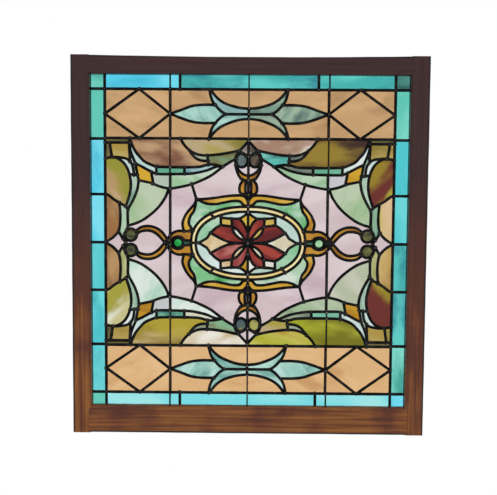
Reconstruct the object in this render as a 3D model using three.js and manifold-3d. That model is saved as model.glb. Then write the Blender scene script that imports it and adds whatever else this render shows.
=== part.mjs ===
// Leaded stained glass window sash, millimetres.
// The window stands upright: X to the right, Z up, and its front looks along -Y.
// The origin is the middle of the underside of the bottom rail.
import * as THREE from 'three';
import { mergeVertices } from 'three/addons/utils/BufferGeometryUtils.js';
import Module from 'manifold-3d';

const wasm = await Module();
wasm.setup();

// ---------------------------------------------------------------- driving sizes
const GAP = 0.3;                    // clearance between neighbouring pieces
const HAIR = 0.001;                 // a triangle less high than this is a sliver
const NEARLY = 0.08;                // corners of a sliver this close become one
const PAST = 5;                     // a cutting shape runs on this far past what it cuts

// Wooden sash, measured from the middle of the glass field
const SASH = {
  halfWidth: 389.7, top: 407.5, bottom: -425,
  thickness: 35,
  arris: 2.2,                       // rounded outer edges, as a chamfer
};
const REBATE = { halfWidth: 354.5, top: 374.1, bottom: -373.4 };   // inner edge of the flat faces
const SIGHT = { halfWidth: 348, top: 366.3, bottom: -362.5 };      // edge of the visible glass
const NOSE_DEPTH = 1.8;             // flat lip of the moulding, next to the glass

// Leaded panel
const FRONT_REVEAL = 14.5;          // from the sash face to the middle plane of the glass
const GLASS = 3;                    // thickness of the sheet glass
const CAME = { width: 5, depth: 6, edge: 6 };                      // lead strips
const PANEL = { halfWidth: 350.8, top: 369, bottom: -366 };        // centre line of the edge lead
const BORDER = { x: 316.8, y: 335.5 };                             // centre line of the inner border lead
const BAND = 229;                   // lead under the top band, and over the bottom one
const SLIP = 2.4;                   // the middle of the design sits this far to the left
const SLIP_REACH = 160;             // half way out of that slip
const OVAL_POWER = 2.25;            // fullness of the medallion's ovals, where 2 is an ellipse
const OVAL_STEPS = 4;               // straight lengths in a quarter of an oval
const ROUNDEL = { x: 261, y: 17, radius: 13.5 };                   // at each end of the cross axis

// Saddle bars in front of the glass
const BAR = { width: 3.2, depth: 9.5, places: [-173.5, -2, 172.5] };

// Putty behind the glass: a wedge that spreads over the edge lead and thins towards the back
const PUTTY = { depth: 8, spread: 6.5, feather: 0.8 };

// ---------------------------------------------------------------- finishes
const finish = (color, roughness, metalness = 0, opacity = 1) => new THREE.MeshStandardMaterial({
  color, roughness, metalness, opacity, transparent: opacity < 1,
});
const WOOD = finish(0x5a2c1c, 0.35);
const LEAD = finish(0x2a2a2b, 0.6, 0.7);
const IRON = finish(0x3a3634, 0.65, 0.8);
const LINSEED_PUTTY = finish(0x8c8578, 0.9);
const GLASS_COLOURS = {
  border: 0x46c9cf, tan: 0xd6a270, lily: 0x8fc0ae, leaf: 0xa9a03f, crescent: 0xb5dcba,
  sail: 0xa9cfa2, sideLeaf: 0xb0983f, dee: 0xb28a50, mauve: 0xd8c6cc,
  ring: 0xefdc92, flower: 0x8e3a34, surround: 0x93cfa4, amber: 0xc79428,
};
const glassFinish = (kind) => finish(GLASS_COLOURS[kind], 0.25, 0, 0.6);

// ---------------------------------------------------------------- solids
function toSolid(geometry) {
  const bare = geometry.clone();
  bare.deleteAttribute('normal');
  bare.deleteAttribute('uv');
  const merged = mergeVertices(bare, 1e-4);
  return new wasm.Manifold(new wasm.Mesh({
    numProp: 3,
    vertProperties: new Float32Array(merged.attributes.position.array),
    triVerts: new Uint32Array(merged.index.array),
  }));
}

function toGeometry(solid) {
  const { vertProperties, triVerts } = solid.getMesh();
  const raw = new THREE.BufferGeometry();
  raw.setAttribute('position', new THREE.BufferAttribute(vertProperties, 3));
  raw.setIndex(new THREE.BufferAttribute(triVerts, 1));
  const geometry = mergeVertices(raw, HAIR);
  geometry.setIndex(withoutSlivers(geometry));
  geometry.computeVertexNormals();
  return geometry;
}

// Joins and cuts leave triangles so flat that their corners lie in one line. Where two corners
// nearly meet they become one. Otherwise the third corner lies on the longest side, and the pair of
// triangles on that side is parted along its other diagonal.
function withoutSlivers(geometry) {
  const { position } = geometry.attributes;
  const at = (k) => new THREE.Vector3().fromBufferAttribute(position, k);
  const length = (a, b) => at(a).distanceTo(at(b));
  const ways = ([a, b, c]) => [[a, b, c], [b, c, a], [c, a, b]];
  const longestFirst = (t) => ways(t).sort((p, q) => length(q[0], q[1]) - length(p[0], p[1]))[0];
  const height = (t) => {
    const [a, b] = longestFirst(t);
    return (2 * new THREE.Triangle(...t.map(at)).getArea()) / length(a, b);
  };
  const corners = geometry.index.array;
  const kept = Array.from({ length: corners.length / 3 }, (_, i) => [...corners.slice(3 * i, 3 * i + 3)]);
  const across = (a, b) => kept.findIndex((t) => t.some((v, k) => v === b && t[(k + 1) % 3] === a));
  const left = new Set();
  for (;;) {
    const i = kept.findIndex((t) => !left.has(String(t)) && height(t) < HAIR);
    if (i < 0) break;
    const [a, b, c] = longestFirst(kept[i]);
    const [near, gone] = length(b, c) < length(c, a) ? [b, c] : [a, c];
    if (length(near, gone) < NEARLY) {
      kept.forEach((t) => t.forEach((v, k) => { if (v === gone) t[k] = near; }));
      const whole = kept.filter((t) => new Set(t).size === 3);
      kept.splice(0, kept.length, ...whole);
      continue;
    }
    const j = across(a, b);
    const d = kept[j].find((v) => v !== a && v !== b);
    const pair = [[a, d, c], [d, b, c]];
    const flatter = Math.min(...pair.map(height)) <= Math.min(height(kept[i]), height(kept[j]));
    const bothFlat = height(kept[j]) < HAIR;
    const joined = across(c, d) >= 0 || across(d, c) >= 0;
    if (joined || (bothFlat ? length(c, d) >= length(a, b) : flatter)) {
      left.add(String(kept[i]));
      continue;
    }
    [kept[i], kept[j]] = pair;
  }
  return kept.flat();
}

const joinAll = (solids) => wasm.Manifold.union(solids).simplify(HAIR);

// A flat outline in the face of the window, made thick from one depth to another
function slab(outline, back, front) {
  const shape = new THREE.Shape(outline.map(([x, y]) => new THREE.Vector2(x, y)));
  const geometry = new THREE.ExtrudeGeometry(shape, { depth: front - back, bevelEnabled: false });
  return toSolid(geometry.translate(0, 0, back));
}

const rectangle = (x0, y0, x1, y1) => [[x0, y0], [x1, y0], [x1, y1], [x0, y1]];

function mesh(name, geometry, material) {
  const piece = new THREE.Mesh(geometry, material);
  piece.name = name;
  return piece;
}

// ---------------------------------------------------------------- wooden sash
const FACE = FRONT_REVEAL;                       // depth of the front face from the glass plane
const REAR = FRONT_REVEAL - SASH.thickness;
const SHOULDER = CAME.depth / 2 + GAP;           // the lead rests on this step of the rebate

// Section across a member: a runs from its outer edge (0) to the sight line, b is the depth
function sashSection(faceWidth, mouldWidth) {
  const { arris } = SASH;
  const round = FACE - SHOULDER - NOSE_DEPTH;
  const points = [[0, REAR + arris], [0, FACE - arris], [arris, FACE], [faceWidth, FACE]];
  for (const turn of [1, 2, 3]) {                // quarter-round moulding down to the lip
    const angle = (turn / 3) * (Math.PI / 2);
    points.push([
      faceWidth + mouldWidth * Math.sin(angle),
      SHOULDER + NOSE_DEPTH + round * Math.cos(angle),
    ]);
  }
  const sight = faceWidth + mouldWidth;
  points.push([sight, SHOULDER], [faceWidth, SHOULDER], [faceWidth, REAR], [arris, REAR]);
  return points;
}

function sashMember(faceWidth, mouldWidth, length) {
  const outline = sashSection(faceWidth, mouldWidth).map(([a, b]) => new THREE.Vector2(a, b));
  const geometry = new THREE.ExtrudeGeometry(new THREE.Shape(outline), {
    depth: length, bevelEnabled: false,
  });
  return geometry.rotateX(Math.PI / 2).translate(0, length / 2, 0);
}

// The ground that a rail takes between the stiles, drawn in by an allowance, mitred at the moulding
function railGround(edge, face, sight, allowance) {
  const side = REBATE.halfWidth - allowance;
  const lip = SIGHT.halfWidth - allowance;
  const up = Math.sign(edge);
  const run = 0.02;                              // share by which the mitre runs past the sight line
  const [deepX, deepY] = [lip - (side - lip) * run, sight - (face - sight) * run];
  return [
    [-side, edge + up * PAST], [-side, face], [-deepX, deepY],
    [deepX, deepY], [side, face], [side, edge + up * PAST],
  ];
}

function sashPieces() {
  const height = SASH.top - SASH.bottom;
  const middle = (SASH.top + SASH.bottom) / 2;
  const stileFace = SASH.halfWidth - REBATE.halfWidth;
  const stileMould = REBATE.halfWidth - SIGHT.halfWidth;
  const thick = [REAR - PAST, FACE + PAST];

  const rails = [
    ['top_rail', SASH.top, REBATE.top, SIGHT.top],
    ['bottom_rail', SASH.bottom, REBATE.bottom, SIGHT.bottom],
  ].map(([name, edge, face, sight]) => {
    const member = sashMember(Math.abs(edge - face), Math.abs(face - sight), 2 * SASH.halfWidth);
    member.rotateZ(edge > 0 ? -Math.PI / 2 : Math.PI / 2);
    member.translate(0, edge, 0);
    const ground = slab(railGround(edge, face, sight, GAP), ...thick);
    return mesh(name, toGeometry(toSolid(member).intersect(ground)), WOOD);
  });

  const taken = joinAll([
    slab(railGround(SASH.top, REBATE.top, SIGHT.top, 0), ...thick),
    slab(railGround(SASH.bottom, REBATE.bottom, SIGHT.bottom, 0), ...thick),
  ]);
  const stiles = [['left_stile', -1], ['right_stile', 1]].map(([name, side]) => {
    const member = sashMember(stileFace, stileMould, height);
    if (side > 0) member.rotateZ(Math.PI);
    member.translate(side * SASH.halfWidth, middle, 0);
    return mesh(name, toGeometry(toSolid(member).subtract(taken)), WOOD);
  });
  return [...stiles, ...rails];
}

// ---------------------------------------------------------------- lead lines of the design
// Each line is drawn for the upper right quarter and mirrored into the others.
const FOUR = [[1, 1], [-1, 1], [1, -1], [-1, -1]];
const SIDES = [[1, 1], [-1, 1]];
const ENDS = [[1, 1], [1, -1]];

const slip = (x) => x - SLIP / (1 + (x / SLIP_REACH) ** 6);

function drawn(lines) {
  return lines.flatMap(([mirrors, steps, points]) => {
    const curve = new THREE.SplineCurve(points.map(([x, y]) => new THREE.Vector2(x, y)));
    const course = curve.getPoints(steps);
    return mirrors.map(([mx, my]) => course.map((p) => new THREE.Vector2(slip(mx * p.x), my * p.y)));
  });
}

// Medallion: a flattened oval, one quarter of it
function oval(halfWidth, halfHeight) {
  const bulge = 2 / OVAL_POWER;
  return Array.from({ length: OVAL_STEPS + 1 }, (_, i) => {
    const angle = (i / OVAL_STEPS) * (Math.PI / 2);
    return [halfWidth * Math.cos(angle) ** bulge, halfHeight * Math.sin(angle) ** bulge];
  });
}
const ovalInside = oval(115.5, 69.5);
const ovalOutside = oval(126, 80.5);

// Roundel: part of a circle, between two angles in degrees
function roundel(from, to, steps) {
  return Array.from({ length: steps + 1 }, (_, i) => {
    const angle = THREE.MathUtils.degToRad(from + ((to - from) * i) / steps);
    return [ROUNDEL.x + ROUNDEL.radius * Math.cos(angle), ROUNDEL.y + ROUNDEL.radius * Math.sin(angle)];
  });
}

// Leads that go right through, between one group of panes and the next
const throughLines = [
  // border and bands
  [SIDES, 1, [[BORDER.x, PANEL.bottom], [BORDER.x, PANEL.top]]],
  [ENDS, 1, [[-BORDER.x, BORDER.y], [BORDER.x, BORDER.y]]],
  [ENDS, 1, [[-BORDER.x, BAND], [BORDER.x, BAND]]],
  // lily in each band: horns and buds
  [FOUR, 2, [[0, 294], [55, 306], [85, BORDER.y]]],
  [FOUR, 2, [[0, 272], [55, 259], [86, BAND]]],
  [FOUR, 1, [[76, 302], [85, BORDER.y]]],
  [FOUR, 1, [[76, 263], [86, BAND]]],
  [FOUR, 2, [[75, 302], [125, 299], [173, 282.3]]],
  [FOUR, 2, [[75, 263], [125, 267], [173, 282.3]]],
  // pointed leaf between the band and the crescent
  [FOUR, 4, [[58, 168], [110, 167], [200, 167], [240, 187], [262, BAND]]],
  // crescent and the top of the sail
  [FOUR, 5, [[28, 184], [58, 168], [100, 139], [135, 126], [176, 119.5], [243, 137]]],
  [FOUR, 2, [[243, 137], [256, 190], [263, BAND]]],
  // sail
  [FOUR, 3, [[176, 119], [198, 80], [232, 51], [267, 37]]],
  [FOUR, 3, [[243, 137], [250, 105], [267, 72], [267, 37]]],
  // foot of the side leaf, and the little diamond on the cross axis
  [FOUR, 1, [[267, 72], [BORDER.x, 106]]],
  [FOUR, 1, [[267, 37], [278, 10]]],
  [FOUR, 1, [[272, 0], [288, 24]]],
  [FOUR, 2, [[288, 24], [301, 10], [BORDER.x, 1]]],
  // side ornament: small arch, loop and roundel
  [FOUR, 2, [[119, 27], [157, 26.5], [180, 8]]],
  [FOUR, 3, [[180, 8], [200, 30], [225, 36.5], [249, 26]]],
  [FOUR, 2, roundel(145, 35, 2)],
  // medallion ring and its scrolls
  [FOUR, OVAL_STEPS, ovalInside],
  [FOUR, OVAL_STEPS, ovalOutside],
  [FOUR, 3, [[0, 92], [10, 104], [40, 105], [114, 96.5]]],
  [FOUR, 3, [[114, 96.5], [138, 64], [145, 46], [141, 26]]],
  // ornament on the upright axis
  [FOUR, 6, [[10, 103], [19.5, 121], [12.6, 137.5], [26, 160], [28, 188], [22, 200], [0, 224]]],
  [ENDS, 1, [[0, 80], [0, 93]]],
  [ENDS, 1, [[0, 223], [0, BAND]]],
];

// Leads laid over a group, with the panes of that group in one piece behind them
const overLines = [
  // border tiles
  [FOUR, 1, [[151, BORDER.y], [151, PANEL.top]]],
  [FOUR, 1, [[BORDER.x, BORDER.y], [PANEL.halfWidth, BORDER.y]]],
  [FOUR, 1, [[BORDER.x, 228], [PANEL.halfWidth, 228]]],
  [FOUR, 1, [[BORDER.x, 106], [PANEL.halfWidth, 106]]],
  [SIDES, 1, [[BORDER.x, 0], [PANEL.halfWidth, 0]]],
  // diamonds in the bands
  [FOUR, 1, [[173, 282.3], [241.5, BORDER.y]]],
  [FOUR, 1, [[241.5, BORDER.y], [BORDER.x, 282]]],
  [FOUR, 1, [[BORDER.x, 282], [241.5, BAND]]],
  [FOUR, 1, [[241.5, BAND], [173, 282.3]]],
  // leaves
  [FOUR, 3, [[22, 203], [85, 193], [125, 200], [150, BAND]]],
  // ribbon along the crescent
  [FOUR, 3, [[58, 168], [120, 153], [204, 151], [250, 174]]],
  // side leaf, and the amber piece over it
  [FOUR, 2, [[BORDER.x, 186], [262, 145], [271, 75]]],
  [FOUR, 1, [[260, 219], [BORDER.x, 219]]],
  // pale ground
  [FOUR, 1, [[124, 130], [114, 96.5]]],
  // scrolls
  [FOUR, 2, [[6, 82], [70, 87], [114, 96.5]]],
  [FOUR, 2, [[114, 96.5], [131, 48], [127, 27]]],
  // ring joints and side ornament
  [ENDS, 1, [[0, 68], [0, 82]]],
  [SIDES, 1, [[114, 0], [127, 0]]],
  [FOUR, 2, [[124, 5], [155.5, 13.5], [181, 6]]],
  [FOUR, 2, [[186, 0], [220, 26], [248, 21]]],
  [FOUR, 3, roundel(145, 395, 3)],
  // ornament on the upright axis
  [ENDS, 2, [[-25, 165], [0, 149], [25, 165]]],
  [ENDS, 1, [[0, 149], [0, 223]]],
  // flower inside the ring
  [FOUR, 1, [[0, 69], [20, 53]]],
  [FOUR, 1, [[20, 56], [0, 8]]],
  [FOUR, 1, [[0, 0], [38, 38]]],
  [FOUR, 3, [[36, 38], [60, 40], [88, 14], [107, 0]]],
  [FOUR, 1, [[60, 61], [60, 40]]],
  [FOUR, 1, [[80, 23], [0, 0]]],
];

// ---------------------------------------------------------------- leaded panel
// A strip of even width along a line, with mitred bends and square ends. The corner of a bend
// reaches at most MITRE_LIMIT times half the width.
const MITRE_LIMIT = 2;
function stripOutline(line, width) {
  const half = width / 2;
  const directions = line.slice(1).map((p, i) => p.clone().sub(line[i]).normalize());
  const left = [];
  const right = [];
  line.forEach((point, i) => {
    const before = directions[Math.max(i - 1, 0)];
    const after = directions[Math.min(i, directions.length - 1)];
    const along = before.clone().add(after).normalize();
    const across = new THREE.Vector2(-along.y, along.x);
    const lean = across.dot(new THREE.Vector2(-after.y, after.x));
    const reach = half * Math.min(1 / lean, MITRE_LIMIT);
    left.push([point.x + across.x * reach, point.y + across.y * reach]);
    right.push([point.x - across.x * reach, point.y - across.y * reach]);
  });
  return [...right, ...left.reverse()];
}

const strips = (lines, width, back, front) => lines.map(
  (line) => slab(stripOutline(line, width), back, front),
);

// Four strips along the edge of the panel
function edgeStrips(width, back, front) {
  const { halfWidth, top, bottom } = PANEL;
  const half = width / 2;
  const outer = slab(rectangle(-halfWidth - half, bottom - half, halfWidth + half, top + half), back, front);
  const inner = slab(
    rectangle(-halfWidth + half, bottom + half, halfWidth - half, top - half), back - PAST, front + PAST,
  );
  return outer.subtract(inner);
}

function leadCames() {
  const half = CAME.depth / 2;
  const through = strips(drawn(throughLines), CAME.width, -half, half);
  const over = strips(drawn(overLines), CAME.width, GLASS / 2 + GAP, half);
  return joinAll([...through, ...over, edgeStrips(CAME.edge, -half, half)]);
}

// The sheet of glass, parted into groups of panes along the leads that go right through
function glassGroups() {
  const { halfWidth, top, bottom } = PANEL;
  const half = GLASS / 2;
  const sheet = slab(rectangle(-halfWidth, bottom, halfWidth, top), -half, half);
  const thick = [-half - PAST, half + PAST];
  const cut = strips(drawn(throughLines), CAME.width + 2 * GAP, ...thick);
  return sheet.subtract(joinAll([...cut, edgeStrips(CAME.edge + 2 * GAP, ...thick)])).decompose();
}

// A point inside each group, in the face of the window, and the group's name and colour
const corners = (name, kind, x, y) => [
  [`upper_right_${name}`, kind, x, y], [`upper_left_${name}`, kind, -x, y],
  [`lower_right_${name}`, kind, x, -y], [`lower_left_${name}`, kind, -x, -y],
];
const groupMarks = [
  ['border_right', 'border', 333, 50], ['border_left', 'border', -333, 50],
  ['border_top', 'border', 60, 350], ['border_bottom', 'border', 60, -350],
  ...corners('band_tan', 'tan', 241, 282),
  ['top_band_upper_tan', 'tan', 20, 315], ['top_band_lower_tan', 'tan', 20, 250],
  ['bottom_band_lower_tan', 'tan', 20, -315], ['bottom_band_upper_tan', 'tan', 20, -250],
  ['top_band_lily', 'lily', 100, 283], ['bottom_band_lily', 'lily', 100, -283],
  ...corners('leaves', 'leaf', 190, 200),
  ...corners('crescent', 'crescent', 130, 140),
  ...corners('sail', 'sail', 230, 100),
  ...corners('side_leaf', 'sideLeaf', 290, 140),
  ...corners('dee', 'dee', 300, 50),
  ...corners('mauve', 'mauve', 150, 80),
  ...corners('surround', 'surround', 110, 70),
  ['medallion_ring', 'ring', 120.75, 0.1], ['medallion_flower', 'flower', 60, 20],
  ['right_ornament', 'amber', 225, 0], ['left_ornament', 'amber', -225, 0],
  ['right_diamond', 'mauve', 294, 0], ['left_diamond', 'mauve', -294, 0],
  ['top_ornament', 'amber', 0, 150], ['bottom_ornament', 'amber', 0, -150],
];

function holds(geometry, x, y) {
  const { position } = geometry.attributes;
  const index = geometry.index.array;
  const corner = (k) => new THREE.Vector3(position.getX(index[k]), position.getY(index[k]), 0);
  const point = new THREE.Vector3(x, y, 0);
  for (let k = 0; k < index.length; k += 3) {
    const triangle = new THREE.Triangle(corner(k), corner(k + 1), corner(k + 2));
    if (triangle.getArea() > 1e-3 && triangle.containsPoint(point)) return true;
  }
  return false;
}

function glassPieces() {
  const groups = glassGroups().map(toGeometry);
  if (groups.length !== groupMarks.length) throw new Error(`${groups.length} groups of glass`);
  return groupMarks.map(([name, kind, x, y]) => {
    const found = groups.filter((geometry) => holds(geometry, x, y));
    if (found.length !== 1) throw new Error(`${name}: ${found.length} groups at ${x},${y}`);
    return mesh(`glass_${name}`, found[0], glassFinish(kind));
  });
}

// ---------------------------------------------------------------- bars and putty
function saddleBars() {
  const length = SIGHT.top - SIGHT.bottom - 2 * GAP;
  const middle = (SIGHT.top + SIGHT.bottom) / 2;
  const front = CAME.depth / 2 + GAP + BAR.depth / 2;
  return BAR.places.map((x, i) => {
    const bar = mesh(`saddle_bar_${i + 1}`, new THREE.BoxGeometry(BAR.width, length, BAR.depth), IRON);
    bar.position.set(x, middle, front);
    return bar;
  });
}

// A wedge of putty all round, against the back of the edge lead and the wall of the rebate. Its
// hollow is a four-sided drum that narrows towards the glass.
function puttyRing() {
  const wallX = REBATE.halfWidth - GAP;
  const wallY = (REBATE.top - REBATE.bottom) / 2 - GAP;
  const middle = (REBATE.top + REBATE.bottom) / 2;
  const front = -CAME.depth / 2 - GAP;
  const back = front - PUTTY.depth;
  const outer = slab(rectangle(-wallX, middle - wallY, wallX, middle + wallY), back, front);
  const run = PUTTY.depth + PAST;
  const narrow = 1 - ((PUTTY.spread / wallX) * run) / PUTTY.depth;
  const hollow = new THREE.CylinderGeometry(Math.SQRT2 * narrow, Math.SQRT2, run, 4);
  hollow.rotateY(Math.PI / 4).rotateX(Math.PI / 2);
  hollow.scale(wallX - PUTTY.feather, wallY - PUTTY.feather, 1).translate(0, middle, back + run / 2);
  return mesh('glazing_putty', toGeometry(outer.subtract(toSolid(hollow))), LINSEED_PUTTY);
}

// ---------------------------------------------------------------- assembly
const window_ = new THREE.Group();
window_.add(
  ...sashPieces(),
  mesh('lead_cames', toGeometry(leadCames()), LEAD),
  ...glassPieces(),
  ...saddleBars(),
  puttyRing(),
);
window_.rotation.x = Math.PI / 2;                // the face that was drawn flat now stands upright
window_.position.set(0, -SASH.thickness / 2 + FRONT_REVEAL, -SASH.bottom);

const part = new THREE.Group();
part.add(window_);
export default part;
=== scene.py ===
# Leaded stained glass window in a varnished wooden sash, in metres.
# The window stands upright on its sill: X to the right, Z up, and its front looks along -Y.
import math

import bmesh
import bpy
from mathutils import Matrix, Vector, noise
from mathutils.geometry import delaunay_2d_cdt


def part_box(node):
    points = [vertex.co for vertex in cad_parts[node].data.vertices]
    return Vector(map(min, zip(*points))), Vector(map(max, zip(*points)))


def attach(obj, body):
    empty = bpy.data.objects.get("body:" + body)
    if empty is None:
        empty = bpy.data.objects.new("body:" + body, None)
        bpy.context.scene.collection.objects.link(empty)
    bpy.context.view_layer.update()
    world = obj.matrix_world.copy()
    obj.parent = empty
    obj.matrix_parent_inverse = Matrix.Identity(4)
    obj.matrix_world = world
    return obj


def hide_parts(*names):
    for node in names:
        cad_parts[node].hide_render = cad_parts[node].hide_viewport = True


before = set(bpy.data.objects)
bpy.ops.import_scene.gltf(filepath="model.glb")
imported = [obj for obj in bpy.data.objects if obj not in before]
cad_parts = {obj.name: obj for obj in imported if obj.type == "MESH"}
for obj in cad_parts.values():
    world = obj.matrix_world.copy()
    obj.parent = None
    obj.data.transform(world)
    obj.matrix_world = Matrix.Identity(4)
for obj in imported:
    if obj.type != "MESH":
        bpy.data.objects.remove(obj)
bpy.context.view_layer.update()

# ---------------------------------------------------------------- lead cames
# The leading is one network of drawn lead strips, soldered where they meet and black with age.
# The strips are H-shaped, six millimetres wide, and hold the panes in their grooves. The glazier
# bent them round the panes by hand, so no two run quite alike.
MM = 0.001
low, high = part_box("lead_cames")
PANEL_LIFT = 1.5                     # the panel's middle lies this far above the middle of the design
to_window = (
    Matrix.Translation((0, (low.y + high.y) / 2, (low.z + high.z) / 2 - PANEL_LIFT * MM))
    @ Matrix.Rotation(math.radians(90), 4, "X")
    @ Matrix.Scale(MM, 4)
)
LEAD_WIDTH, LEAD_DEPTH, EDGE_WIDTH = 6.2, 6.0, 6.0
SLIP, SLIP_REACH = 2.4, 160          # the middle of the design slipped to the left in glazing
BORDER_X, BORDER_Y, BAND = 316.8, 335.5, 229
EDGE_X, EDGE_TOP, EDGE_BOTTOM = 350.8, 369, -366
MIRRORS = {"xy": [(1, 1), (-1, 1), (1, -1), (-1, -1)], "x": [(1, 1), (-1, 1)], "y": [(1, 1), (1, -1)],
           "": [(1, 1)]}


def slip(x):
    """Where a place on the design's x ended up."""
    return x - SLIP / (1 + (x / SLIP_REACH) ** 6)


def oval(half_width, half_height, fullness=2.25, steps=12):
    """A quarter of an oval, a little squarer than an ellipse."""
    turns = [math.radians(90) * k / steps for k in range(steps)]
    quarter = [(half_width * math.cos(t) ** (2 / fullness),
                half_height * math.sin(t) ** (2 / fullness)) for t in turns]
    return quarter + [(0, half_height)]


def circle(x, y, radius_x, radius_y, steps=20):
    turns = [math.tau * k / steps for k in range(steps + 1)]
    return [(x + radius_x * math.cos(t), y + radius_y * math.sin(t)) for t in turns]


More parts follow.
